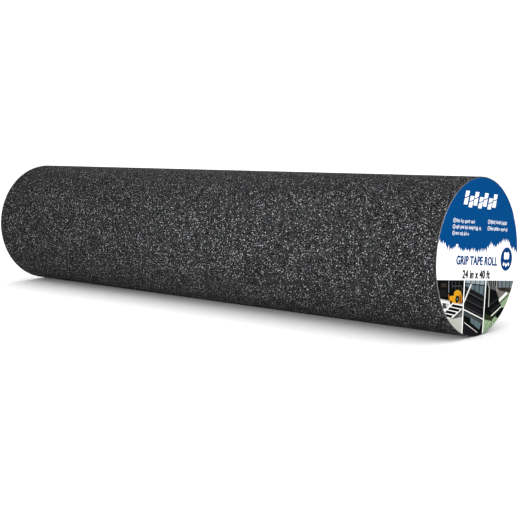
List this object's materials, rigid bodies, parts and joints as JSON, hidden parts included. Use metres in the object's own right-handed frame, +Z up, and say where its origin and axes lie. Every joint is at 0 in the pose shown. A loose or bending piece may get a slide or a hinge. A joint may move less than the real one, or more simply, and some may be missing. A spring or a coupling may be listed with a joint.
{
  "type": "roll of anti-slip grip tape",
  "caption": "Wide roll of abrasive anti-slip grip tape with a release liner on a paperboard core, with a lifting free end, holding tabs and a round end label.",
  "frame": {"origin": "on the axis of the core, half way along the roll", "axes": "+X along the roll's axis towards the labelled end, +Z up, -Y the side away from the free end"},
  "size_m": [0.6102, 0.1395, 0.14],
  "materials": {
    "grit_tape": "matte",
    "release_liner": "satin",
    "paperboard": "matte",
    "start_strip": "satin",
    "holding_tape": "gloss",
    "printed_label": "satin"
  },
  "bodies": {
    "roll": {"core_tube": "paperboard", "core_start_tape": "start_strip", "wound_tape": "grit_tape", "wound_liner": "release_liner"},
    "tail": {"tape_tail": "grit_tape"},
    "liner_end": {"liner_tail": "release_liner"},
    "tab_left": {"seal_tab_left": "holding_tape"},
    "tab_right": {"seal_tab_right": "holding_tape"},
    "label": {"end_label": "printed_label"}
  },
  "joints": [
    {"name": "tail_lift", "type": "hinge", "parent": "roll", "child": "tail", "pos_m": [0, 0.02195, 0.06673], "axis": [1, 0, 0], "range_deg": [0, 70]},
    {"name": "liner_peel", "type": "hinge", "parent": "roll", "child": "liner_end", "pos_m": [0, 0.02173, 0.06606], "axis": [1, 0, 0], "range_deg": [0, 31.5]},
    {"name": "seal_peel_left", "type": "hinge", "parent": "tail", "child": "tab_left", "pos_m": [-0.17069, 0.0472, 0.05241], "axis": [1, 0, 0], "range_deg": [0, 120]},
    {"name": "seal_peel_right", "type": "hinge", "parent": "tail", "child": "tab_right", "pos_m": [0.17069, 0.0472, 0.05241], "axis": [1, 0, 0], "range_deg": [0, 120]},
    {"name": "label_off", "type": "slide", "parent": "roll", "child": "label", "axis": [1, 0, 0], "range_m": [0, 0.05]}
  ],
  "couplings": [
    {"joint": "liner_peel", "follows": "tail_lift", "ratio": 0.45}
  ]
}
